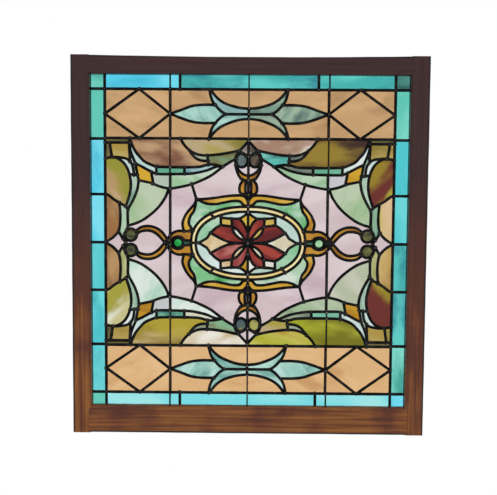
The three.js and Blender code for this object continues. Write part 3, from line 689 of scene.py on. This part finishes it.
dim_olive = sheet_glass("dim_olive", (96, 90, 48), (120, 112, 60), (60, 56, 36), size=30, shares=(0.5, 0.5))
leaf_rows = [
    (190, 200, 8, olive_brown, dark_brown, yellow_olive, lime_olive),
    (80, 212, 20, lime_tan, milk_tan, milk_cream, lime_amber),
    (108, 190, 15, sage_grey),
    (60, 184, 0, under_green, under_teal, under_green, lime_tan),
]
glaze_quarters("leaves", "leaves", leaf_rows, "glass_leaf")

# ---------------------------------------------------------------- glass: crescents and ribbons
# Below each leaf runs a long crescent of pale green glass, with a thin ribbon of blue, teal and
# white pieces along its upper edge. A five-sided piece of deep amber ends the crescent.
pale_green = sheet_glass("pale_green", (156, 198, 156), (196, 216, 192), (128, 172, 130), size=18)
white_aqua = sheet_glass("white_aqua", (206, 230, 218), (232, 240, 234), (172, 208, 190), size=18,
                         rough=0.35)
sage = sheet_glass("sage", (158, 184, 146), (186, 200, 172), (128, 152, 120), size=18)
grey_lavender = sheet_glass("grey_lavender", (184, 198, 182), (202, 202, 206), (150, 180, 150), size=18)
ribbon_blue = sheet_glass("ribbon_blue", (142, 186, 190), (196, 220, 222), (96, 140, 150), size=26)
ribbon_teal = sheet_glass("ribbon_teal", (96, 168, 140), (130, 196, 168), (60, 124, 110), size=26,
                          shares=(0.48, 0.44))
ribbon_cream = sheet_glass("ribbon_cream", (196, 196, 166), (220, 218, 200), (160, 156, 110), size=26)
ribbon_white = sheet_glass("ribbon_white", (190, 216, 210), (226, 236, 232), (150, 186, 180), size=22,
                           rough=0.35)
deep_amber = sheet_glass("deep_amber", (198, 150, 26), (214, 168, 48), (168, 116, 16), size=24,
                         shares=(0.45, 0.42), rough=0.18)
crescent_rows = [
    (120, 142, 30, pale_green, pale_green, white_aqua, sage),
    (192, 136, 30, grey_lavender, grey_lavender, grey_lavender, sage),
    (228, 147, 0, deep_amber),
    (120, 160, 0, ribbon_blue, sage_grey, ribbon_cream, sage_grey),
    (172, 158, 0, ribbon_teal),
    (230, 173, 40, ribbon_white),
    (260.6, 220.8, 0, dim_olive),
]
glaze_quarters("crescent", "crescent", crescent_rows, "glass_crescent")

# ---------------------------------------------------------------- glass: sails
# A triangular sail of pale streaky green glass fills the side of each quarter.
sail_green = sheet_glass("sail_green", (162, 192, 148), (190, 206, 176), (124, 172, 116), size=13,
                         blend=0.1)
sail_white = sheet_glass("sail_white", (200, 226, 210), (226, 236, 228), (160, 208, 182), size=13,
                         blend=0.1)
sail_sage = sheet_glass("sail_sage", (182, 190, 162), (202, 204, 186), (150, 168, 130), size=13, blend=0.1)
glaze_quarters("sail", "sail", [(225, 95, 60, sail_green, sail_green, sail_white, sail_sage)], "glass_sail")

# ---------------------------------------------------------------- glass: side leaves
# By the border stands a round-backed leaf of streaky glass, wrapped on its inner side by two
# narrow pale strips. A square piece of golden olive glass and its offcuts fill the space above.
leaf_pink = sheet_glass("leaf_pink", (186, 152, 104), (206, 176, 140), (150, 146, 50), size=14,
                        shares=(0.48, 0.5), blend=0.07, rough=0.35)
leaf_maroon = sheet_glass("leaf_maroon", (150, 128, 36), (178, 168, 60), (108, 42, 34), size=14,
                          shares=(0.46, 0.5), blend=0.07, rough=0.35)
leaf_milk = sheet_glass("leaf_milk", (204, 198, 140), (232, 232, 216), (168, 162, 60), size=14,
                        shares=(0.5, 0.46), blend=0.08, rough=0.4)
golden_olive = sheet_glass("golden_olive", (174, 146, 66), (186, 166, 96), (136, 116, 40), size=20,
                           shares=(0.46, 0.42))
strip_sage = sheet_glass("strip_sage", (160, 192, 168), (196, 216, 200), (120, 156, 136), size=26)
side_leaf_rows = [
    (295, 140, 50, leaf_pink, leaf_maroon, leaf_milk, leaf_maroon),
    (255, 130, 80, strip_sage),
    (258, 168, 60, ribbon_white),
    (285, 205, 0, golden_olive),
    (312, 205, 0, dim_olive, golden_olive, dim_olive, lime_tan),
    (290, 225, 0, dim_olive),
    (262.6, 201.4, 80, strip_sage),
]
glaze_quarters("side_leaf", "side_leaf", side_leaf_rows, "glass_side_leaf")

# ---------------------------------------------------------------- glass: half-rounds and daggers
# At the side of each quarter a half-round piece stands against the border, with a slim dagger of
# green glass between it and the sail.
dee_brown = sheet_glass("half_round_brown", (156, 108, 62), (186, 146, 96), (112, 74, 44), size=16,
                        shares=(0.48, 0.45), blend=0.08, rough=0.35)
dee_cream = sheet_glass("half_round_cream", (206, 186, 118), (222, 190, 148), (186, 190, 44), size=12,
                        shares=(0.48, 0.46), blend=0.08, rough=0.35)
dee_amber = sheet_glass("half_round_amber", (190, 154, 80), (210, 180, 120), (150, 110, 40), size=14,
                        shares=(0.48, 0.45), blend=0.08, rough=0.35)
dagger_green = sheet_glass("dagger_green", (140, 180, 148), (176, 204, 176), (96, 148, 130), size=24)
dagger_yellow = sheet_glass("dagger_yellow", (178, 180, 122), (200, 206, 160), (150, 150, 80), size=24)
dee_rows = [
    (302, 50, 80, dee_brown, dee_cream, dee_brown, dee_amber),
    (276, 50, 90, dagger_green, dagger_green, dagger_yellow, dagger_yellow),
]
glaze_quarters("half_round", "dee", dee_rows, "glass_dee")

# ---------------------------------------------------------------- glass: pale mauve ground
# Behind the medallion the ground is plain pale mauve glass, almost clear, in three pieces to a
# quarter. The small diamonds at the sides are cut from the same sheet.
mauve = sheet_glass("pale_mauve", (212, 192, 196), (224, 208, 212), (200, 176, 184), size=12,
                    shares=(0.5, 0.4), rough=0.16, relief=0.25)
glaze_quarters("mauve_ground", "mauve", [(x, y, 15, mauve) for x, y in ((70, 130), (150, 80), (190, 45))],
               "glass_mauve")
for side, mx in (("left", -1), ("right", 1)):
    set_panes(f"mauve_diamond_{side}", f"glass_{side}_diamond", [(mx * 294, 0, mauve, 0)], "glass_mauve")

# ---------------------------------------------------------------- glass: surround of the medallion
# Four pieces of mottled green opalescent glass make a shield round the medallion. Slim scrolls of
# amber glass run along its ends and down its sides.
mottled_green = sheet_glass("mottled_green", (150, 198, 160), (196, 222, 202), (104, 182, 120), size=22,
                            shares=(0.5, 0.45), blend=0.08, stretch=1.3, rough=0.4)
mottled_leaf = sheet_glass("mottled_leaf", (128, 194, 138), (176, 214, 182), (70, 160, 90), size=22,
                           shares=(0.5, 0.45), blend=0.08, stretch=1.3, rough=0.4)
mottled_pale = sheet_glass("mottled_pale", (180, 210, 180), (216, 228, 214), (140, 190, 150), size=22,
                           shares=(0.5, 0.42), blend=0.08, stretch=1.3, rough=0.4)
amber = sheet_glass("amber", (206, 158, 42), (222, 186, 82), (176, 118, 24), size=24, shares=(0.46, 0.42),
                    rough=0.18)
surround_rows = [
    (100, 75, 0, mottled_green, mottled_green, mottled_leaf, mottled_pale),
    (50, 98, 0, amber),
    (136, 45, 80, amber),
]
glaze_quarters("shield", "surround", surround_rows, "glass_surround")

# ---------------------------------------------------------------- glass: medallion ring
# A ring of smooth cream-yellow glass, in eight curved pieces, frames the medallion.
cream = sheet_glass("cream_ring", (238, 214, 142), (246, 230, 176), (222, 190, 110), size=18,
                    shares=(0.45, 0.4), rough=0.2)
ring_cuts = [(mx * x, my * y, cream, 0) for mx, my in CORNERS.values() for x, y in ((40, 73), (114, 30))]
set_panes("medallion_ring", "glass_medallion_ring", ring_cuts, "glass_ring")

# ---------------------------------------------------------------- glass: medallion flower
# Inside the ring lies a flower of eight ruby petals round a knot of solder, with pale lens-shaped
# slips between them, golden points, square corners and a ground of milky aqua.
ruby = sheet_glass("ruby", (132, 40, 34), (168, 66, 52), (96, 22, 26), size=26, shares=(0.46, 0.46),
                   blend=0.1, rough=0.2)
rose = sheet_glass("rose", (148, 58, 58), (186, 110, 104), (110, 30, 44), size=26, shares=(0.5, 0.45),
                   blend=0.1, rough=0.25)
gold = sheet_glass("gold", (206, 166, 30), (220, 190, 80), (170, 126, 20), size=30, shares=(0.45, 0.42),
                   rough=0.18)
straw = sheet_glass("straw", (212, 182, 90), (228, 206, 140), (190, 150, 50), size=30, shares=(0.45, 0.42),
                    rough=0.2)
peach = sheet_glass("peach", (222, 200, 156), (232, 216, 184), (204, 172, 120), size=30, shares=(0.45, 0.4),
                    rough=0.25)
milk_white = sheet_glass("milk_white", (226, 228, 214), (240, 240, 232), (214, 204, 172), size=26,
                         rough=0.35)
milky_aqua = sheet_glass("milky_aqua", (196, 220, 212), (220, 236, 232), (168, 202, 184), size=20,
                         rough=0.3)
spring_green = sheet_glass("spring_green", (156, 204, 168), (192, 220, 196), (120, 190, 140), size=20,
                           rough=0.3)
flower_rows = [
    (12, 44, 60, ruby, ruby, rose, ruby),               # upright petals
    (50, 25, 20, ruby, ruby, rose, ruby),               # wide petals
    (20, 19, 50, milk_white, straw, peach, milk_white),  # lens slips
    (48, 47, 0, straw, straw, peach, milk_white),       # squares
    (30, 59, 0, milky_aqua),
    (85, 40, 30, spring_green, milky_aqua, milky_aqua, spring_green),
    (5, 52, 90, gold, gold, gold, milk_white),          # star
]
flower_cuts = in_corners(CORNERS, flower_rows) + [(-82, 0, peach, 90), (82, 0, milk_white, 90)]
set_panes("medallion_flower", "glass_medallion_flower", flower_cuts, "glass_flower")

# ---------------------------------------------------------------- glass: ornaments of the level axis
# On either side of the medallion sit a round green jewel under an amber arch, an amber loop with
# mauve inside, and a pair of small dark roundels.
emerald = sheet_glass("emerald", (10, 152, 62), (60, 190, 100), (0, 110, 50), size=40, shares=(0.45, 0.42),
                      rough=0.1)
leaf_jewel = sheet_glass("leaf_jewel", (104, 190, 120), (170, 216, 170), (40, 160, 70), size=40,
                         shares=(0.48, 0.45), rough=0.15)
bottle_green = sheet_glass("bottle_green", (36, 84, 62), (60, 120, 90), (20, 50, 40), size=40,
                           shares=(0.45, 0.42))
honey = sheet_glass("honey", (186, 132, 36), (206, 158, 70), (150, 98, 24), size=26, shares=(0.46, 0.42),
                    rough=0.2)
dark_olive = sheet_glass("dark_olive", (84, 84, 44), (112, 112, 62), (48, 56, 40), size=50,
                         shares=(0.48, 0.46))
level_rows = [
    (140, 17, 0, honey),
    (205, 27, 30, honey),
    (261, 17, 0, dark_olive),
]
for side, mx, jewel in (("left", -1, emerald), ("right", 1, leaf_jewel)):
    corners = [f"upper_{side}", f"lower_{side}"]
    cuts = in_corners(corners, level_rows)
    cuts += [(mx * 155.5, 0, jewel, 0), (mx * 225, 0, mauve, 0), (mx * 136, 0, bottle_green, 0)]
    set_panes(f"level_ornament_{side}", f"glass_{side}_ornament", cuts, "glass_amber")

# ---------------------------------------------------------------- glass: ornaments of the upright axis
# Above and below the medallion stands a bulb of amber slips with a slit of mauve between them, a
# chevron, a pair of roundels and two small points.
slate_blue = sheet_glass("slate_blue", (80, 96, 88), (104, 124, 130), (54, 60, 58), size=50,
                         shares=(0.48, 0.46))
umber = sheet_glass("umber", (80, 72, 56), (104, 92, 72), (50, 44, 36), size=50, shares=(0.48, 0.46))
stone = sheet_glass("stone_grey", (128, 118, 112), (158, 146, 140), (84, 76, 70), size=60,
                    shares=(0.48, 0.46))
moss = sheet_glass("moss", (132, 128, 60), (170, 166, 90), (70, 92, 96), size=40, shares=(0.48, 0.5),
                   blend=0.05)
upright_rows = [
    (11, 120, 90, honey),
    (3, 120, 90, mauve),
    (8, 145, 0, honey),
    (10, 160, 0, mauve),
    (14.5, 182, 60, slate_blue, umber, moss, moss),
    (19.1, 198.8, 0, umber),
    (3.6, 208.4, 0, stone, stone, mauve, mauve),
    (1.8, 99.8, 0, stone),
]
for end, my in (("top", 1), ("bottom", -1)):
    corners = [("upper" if my > 0 else "lower") + "_" + side for side in ("left", "right")]
    set_panes(f"upright_ornament_{end}", f"glass_{end}_ornament", in_corners(corners, upright_rows),
              "glass_amber")

# ---------------------------------------------------------------- saddle bars
# Three flat bars of blackened iron stand on edge across the front of the panel, and carry it
# against the wind. The glazier tied them to the leads with dabs of solder, which stayed bright.
black_iron = tarnished_metal("black_iron", (0.05, 0.047, 0.045), (0.014, 0.013, 0.013), patch_size=45.0,
                             cover=0.5, rough=0.4, rough_tarnished=0.65, Metallic=0.7)
bright_solder = tarnished_metal("bright_solder", (0.55, 0.55, 0.54), (0.2, 0.2, 0.2), patch_size=220.0,
                                cover=0.45, rough=0.35, rough_tarnished=0.5, Metallic=0.6)
BAR_ARRIS, DAB_RADIUS, BAR_WANDER = 0.0007, 0.0024, 0.0007
lead_spans = [(to_window @ a.to_3d(), to_window @ b.to_3d())
              for course in lead_courses for a, b in zip(course, course[1:])]
dabs = bmesh.new()
for number in (1, 2, 3):
    low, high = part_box(f"saddle_bar_{number}")
    bm = bmesh.new()
    in_place = Matrix.Translation((low + high) / 2) @ Matrix.Diagonal((*(high - low), 1))
    bmesh.ops.create_cube(bm, size=1, matrix=in_place)
    long_edges = [e for e in bm.edges if abs(e.verts[0].co.z - e.verts[1].co.z) > 0.1]
    bmesh.ops.bevel(bm, geom=long_edges, offset=BAR_ARRIS, segments=2, profile=0.5, affect="EDGES",
                    material=-1)
    long_edges = [e for e in bm.edges if abs(e.verts[0].co.z - e.verts[1].co.z) > 0.1]
    bmesh.ops.subdivide_edges(bm, edges=long_edges, cuts=60, use_grid_fill=True)
    for vert in bm.verts:
        vert.co.x += BAR_WANDER * noise.noise(Vector((number, 0, vert.co.z * 6)))
    mesh = bpy.data.meshes.new(f"saddle_bar_{number}")
    bm.to_mesh(mesh)
    bm.free()
    shade(mesh, black_iron)
    place_piece(f"iron_bar_{number}", mesh, f"saddle_bar_{number}", slot="iron")
    middle = (low.x + high.x) / 2
    for a, b in lead_spans:
        if min(a.x, b.x) <= middle < max(a.x, b.x):
            z = a.z + (b.z - a.z) * (middle - a.x) / (b.x - a.x)
            wobble = noise.noise(Vector((z * 90, middle * 90, 0)))
            if low.z + 0.004 < z < high.z - 0.004 and wobble > -0.25:
                place = Matrix.Translation((middle, low.y + 0.0012, z + 0.002 * wobble))
                bmesh.ops.create_uvsphere(dabs, u_segments=10, v_segments=6, radius=DAB_RADIUS,
                                          matrix=place @ Matrix.Diagonal((0.95, 0.6, 1.1 + wobble, 1)))
dab_mesh = bpy.data.meshes.new("solder_dabs")
dabs.to_mesh(dab_mesh)
dabs.free()
shade(dab_mesh, bright_solder)
place_piece("solder_dabs", dab_mesh, slot="lead")

# ---------------------------------------------------------------- glazing putty
# Linseed putty beds the panel in the sash. It was run in with a knife from behind, and has
# turned grey and cracked. The CAD solid is its true shape, so it is kept.
putty_grey = tarnished_metal("putty_grey", (0.28, 0.26, 0.22), (0.15, 0.14, 0.12), patch_size=30.0,
                             cover=0.5, rough=0.85, rough_tarnished=0.9, Metallic=0.0)
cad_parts["glazing_putty"].data.materials.clear()
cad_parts["glazing_putty"].data.materials.append(putty_grey)

# ---------------------------------------------------------------- sash
# The sash is mahogany under a dark varnish: two stiles run full height, with the rails tenoned
# between them. A quarter-round moulding is worked on the inner edge of each, with a rebate behind.
MOULDING_DEPTH = 9.4                 # from the face down to the lip that covers the panel's edge
SASH_FRONT, SASH_BACK, LIP = 14.5, -20.5, 3.3
FRONT_ARRIS, BACK_ARRIS = 3.2, 2     # how far the outer edges are rounded
WORN_WIDTH = 12
STEPS = 40                           # cuts along a member, so that its worn edge can wander


def build_varnish_and_edge_shade():
    """Grain along the board, with painted shade on the rounded outer edges of the face, and warmer, lighter
    colour towards the foot.
    """
    group, given, out = node_group(
        "varnish and edge shade",
        [("Grain", "Vector", None), ("Height", "Float", 0.5), ("Dark", "Color", (0.1, 0.03, 0.03, 1)),
         ("Warm", "Color", (0.34, 0.075, 0.014, 1)), ("Golden", "Color", (0.6, 0.22, 0.04, 1)),
         ("Edge shade", "Color", (0.006, 0.004, 0.004, 1))],
        [("Color", "Color"), ("Worn", "Float"), ("Relief", "Float")],
    )
    across = add_node(group, "SeparateXYZ", {0: given.outputs["Grain"]})
    stretched = add_node(group, "VectorMath", {0: given.outputs["Grain"]}, operation="MULTIPLY",
                         values={1: (4.0, 140.0, 1.0)})
    figure = add_node(group, "TexNoise", {"Vector": stretched.outputs[0]},
                      values={"Scale": 1.0, "Detail": 5.0, "Distortion": 0.5})
    broad = add_node(group, "TexNoise", {"Vector": given.outputs["Grain"]},
                     values={"Scale": 9.0, "Detail": 3.0})
    foot = add_node(group, "MapRange", {"Value": given.outputs["Height"]},
                    values={"From Min": 0.62, "From Max": 0.1})
    mottled = add_node(group, "Math", {0: foot.outputs[0], 1: broad.outputs["Fac"]}, operation="MULTIPLY")
    warm = add_node(group, "MapRange", {"Value": mottled.outputs[0]},
                    values={"From Min": 0.05, "From Max": 0.55})
    ground = add_node(group, "Mix", {0: warm.outputs[0], 6: given.outputs["Dark"],
                                     7: given.outputs["Warm"]}, data_type="RGBA")
    streak = add_node(group, "Math", {0: figure.outputs["Fac"], 1: warm.outputs[0]}, operation="MULTIPLY")
    streaks = add_node(group, "MapRange", {"Value": streak.outputs[0]},
                       values={"From Min": 0.3, "From Max": 0.62, "To Max": 0.85})
    golden = add_node(group, "Mix", {0: streaks.outputs[0], 6: ground.outputs[2],
                                     7: given.outputs["Golden"]}, data_type="RGBA")
    fine = add_node(group, "MapRange", {"Value": figure.outputs["Fac"]},
                    values={"From Min": 0.3, "From Max": 0.7, "To Min": 0.7, "To Max": 1.15})
    grained = add_node(group, "Mix", {6: golden.outputs[2], 7: fine.outputs[0]}, data_type="RGBA",
                       blend_type="MULTIPLY", values={0: 1.0})
    # Painted shade: the rounded outer edge, where it turns away from the light, is darkened to near black
    # along a ragged line.
    ragged = add_node(group, "Math", {0: figure.outputs["Fac"]}, operation="MULTIPLY", values={1: 0.005})
    edge = add_node(group, "Math", {0: across.outputs["Y"], 1: ragged.outputs[0]}, operation="SUBTRACT")
    edge_shade_mask = add_node(group, "MapRange", {"Value": edge.outputs[0]},
                     values={"From Min": 0.003, "From Max": 0.0005})
    colour = add_node(group, "Mix", {0: edge_shade_mask.outputs[0], 6: grained.outputs[2], 7: given.outputs["Edge shade"]},
                      data_type="RGBA")
    group.links.new(colour.outputs[2], out.inputs["Color"])
    group.links.new(streaks.outputs[0], out.inputs["Worn"])
    group.links.new(figure.outputs["Fac"], out.inputs["Relief"])
    return group


mahogany, tree, shader = new_material("varnished_mahogany", Metallic=0.0, Coat_Weight=0.35,
                                      Coat_Roughness=0.3)
board = add_node(tree, "UVMap", uv_map="board")
place = add_node(tree, "TexCoord")
height = add_node(tree, "SeparateXYZ", {0: place.outputs["Object"]})
effect = tree.nodes.new("ShaderNodeGroup")
effect.node_tree = build_varnish_and_edge_shade()
tree.links.new(board.outputs[0], effect.inputs["Grain"])
tree.links.new(height.outputs["Z"], effect.inputs["Height"])
gloss = add_node(tree, "MapRange", {"Value": effect.outputs["Worn"]},
                 values={"To Min": 0.42, "To Max": 0.6})
relief = add_node(tree, "Bump", {"Height": effect.outputs["Relief"]},
                  values={"Strength": 0.15, "Distance": 0.0006})
tree.links.new(effect.outputs["Color"], shader.inputs["Base Color"])
tree.links.new(gloss.outputs[0], shader.inputs["Roughness"])
tree.links.new(relief.outputs[0], shader.inputs["Normal"])


def sash_member(name, node, length, face, moulding, turn, hollow=0.0):
    """A length of sash timber. It is drawn with its outer edge along X, and turned into place.

    face and moulding are the widths of its flat and of its quarter-round; hollow is how far its
    outer edge has been planed away in the middle."""
    bm = bmesh.new()
    uv = bm.loops.layers.uv.new("board")
    section = [(0, SASH_BACK), (face, SASH_BACK), (face, LIP), (face + moulding, LIP),
               (face + moulding, SASH_FRONT), (0, SASH_FRONT)]
    corners = [bm.verts.new((-length / 2, across, deep)) for across, deep in section]
    end = bm.faces.new(corners)
    pushed = bmesh.ops.extrude_face_region(bm, geom=[end], use_keep_orig=True)["geom"]
    bmesh.ops.translate(bm, verts=[v for v in pushed if isinstance(v, bmesh.types.BMVert)],
                        vec=(length, 0, 0))
    bmesh.ops.recalc_face_normals(bm, faces=bm.faces)

    def long_edges(across, deep):
        return [e for e in bm.edges
                if all(abs(v.co.y - across) < 0.01 and abs(v.co.z - deep) < 0.01 for v in e.verts)]

    to_front = Matrix.Translation((0, 0, SASH_FRONT))       # the bevel is round while the depth is squashed
    squash = to_front @ Matrix.Diagonal((1, 1, moulding / MOULDING_DEPTH, 1)) @ to_front.inverted()
    bmesh.ops.transform(bm, matrix=squash, verts=bm.verts)
    bmesh.ops.bevel(bm, geom=long_edges(face + moulding, SASH_FRONT), offset=moulding * 0.98, segments=6,
                    profile=0.5, affect="EDGES", material=-1)
    bmesh.ops.transform(bm, matrix=squash.inverted(), verts=bm.verts)
    bmesh.ops.bevel(bm, geom=long_edges(0, SASH_FRONT), offset=FRONT_ARRIS, segments=4, profile=0.5,
                    affect="EDGES", material=-1)
    bmesh.ops.bevel(bm, geom=long_edges(0, SASH_BACK), offset=BACK_ARRIS, segments=2, profile=0.5,
                    affect="EDGES", material=-1)
    for k in range(1, STEPS):
        station = (-length / 2 + length * k / STEPS, 0, 0)
        bmesh.ops.bisect_plane(bm, geom=bm.verts[:] + bm.edges[:] + bm.faces[:], plane_co=station,
                               plane_no=(1, 0, 0))
    for vert in bm.verts:
        worn = 1 - min(1, vert.co.y / WORN_WIDTH)
        wander = 0.35 * (1 + noise.noise(Vector((vert.co.x * 0.02, face, 0))))
        vert.co.y += worn * (hollow * (1 - (2 * vert.co.x / length) ** 2) + wander)
    for face_ in bm.faces:
        for loop in face_.loops:
            x, y, z = loop.vert.co
            side = abs(face_.normal.z) < 0.5
            loop[uv].uv = (x * MM + face, (y + (SASH_FRONT - z if side else 0)) * MM)
    bm.transform(turn)
    bmesh.ops.recalc_face_normals(bm, faces=bm.faces)
    mesh = bpy.data.meshes.new(name)
    bm.to_mesh(mesh)
    bm.free()
    mesh.transform(to_window)
    shade(mesh, mahogany, smooth=False)
    return place_piece(name, mesh, node, slot="wood")


stile_low, stile_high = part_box("left_stile")
SASH_X = -stile_low.x / MM
SASH_FOOT, SASH_HEAD = ((to_window.inverted() @ corner).y for corner in (stile_low, stile_high))
STILE_FACE, STILE_MOULDING = 35.2, 6.5
HEAD_FACE, HEAD_MOULDING = 33.4, 7.8
FOOT_FACE, FOOT_MOULDING = 51.6, 10.9
centre = (SASH_FOOT + SASH_HEAD) / 2
rail = 2 * (SASH_X - STILE_FACE)
quarter = math.radians(90)
sash_member("stile_left", "left_stile", SASH_HEAD - SASH_FOOT, STILE_FACE, STILE_MOULDING,
            Matrix.Translation((-SASH_X, centre, 0)) @ Matrix.Rotation(-quarter, 4, "Z"))
sash_member("stile_right", "right_stile", SASH_HEAD - SASH_FOOT, STILE_FACE, STILE_MOULDING,
            Matrix.Translation((SASH_X, centre, 0)) @ Matrix.Rotation(quarter, 4, "Z"))
sash_member("rail_top", "top_rail", rail, HEAD_FACE, HEAD_MOULDING,
            Matrix.Translation((0, SASH_HEAD, 0)) @ Matrix.Rotation(2 * quarter, 4, "Z"), hollow=3.0)
sash_member("rail_bottom", "bottom_rail", rail, FOOT_FACE, FOOT_MOULDING,
            Matrix.Translation((0, SASH_FOOT, 0)))

# ---------------------------------------------------------------- room and camera
# The window stands before a plain white wall, which fills it with light from behind. Soft light
# from the room falls on its face.
scene = bpy.context.scene
scene.view_settings.view_transform = "Standard"
world = bpy.data.worlds.new("white room")
world.use_nodes = True
world.node_tree.nodes["Background"].inputs["Color"].default_value = (1, 1, 1, 1)
toward = add_node(world.node_tree, "TexCoord")
depth = add_node(world.node_tree, "SeparateXYZ", {0: toward.outputs["Generated"]})
wall = add_node(world.node_tree, "MapRange", {"Value": depth.outputs["Y"]},
                values={"From Min": -0.2, "From Max": 0.2, "To Min": 0.4})
world.node_tree.links.new(wall.outputs[0], world.node_tree.nodes["Background"].inputs["Strength"])
scene.world = world
camera = bpy.data.cameras.new("camera")
camera.lens, camera.sensor_width = 65, 36
viewer = bpy.data.objects.new("camera", camera)
viewer.location = (0.019, -1.9774, 0.5747)
viewer.rotation_euler = (1.4904, -0.0069, 0.0107)
scene.collection.objects.link(viewer)
scene.camera = viewer
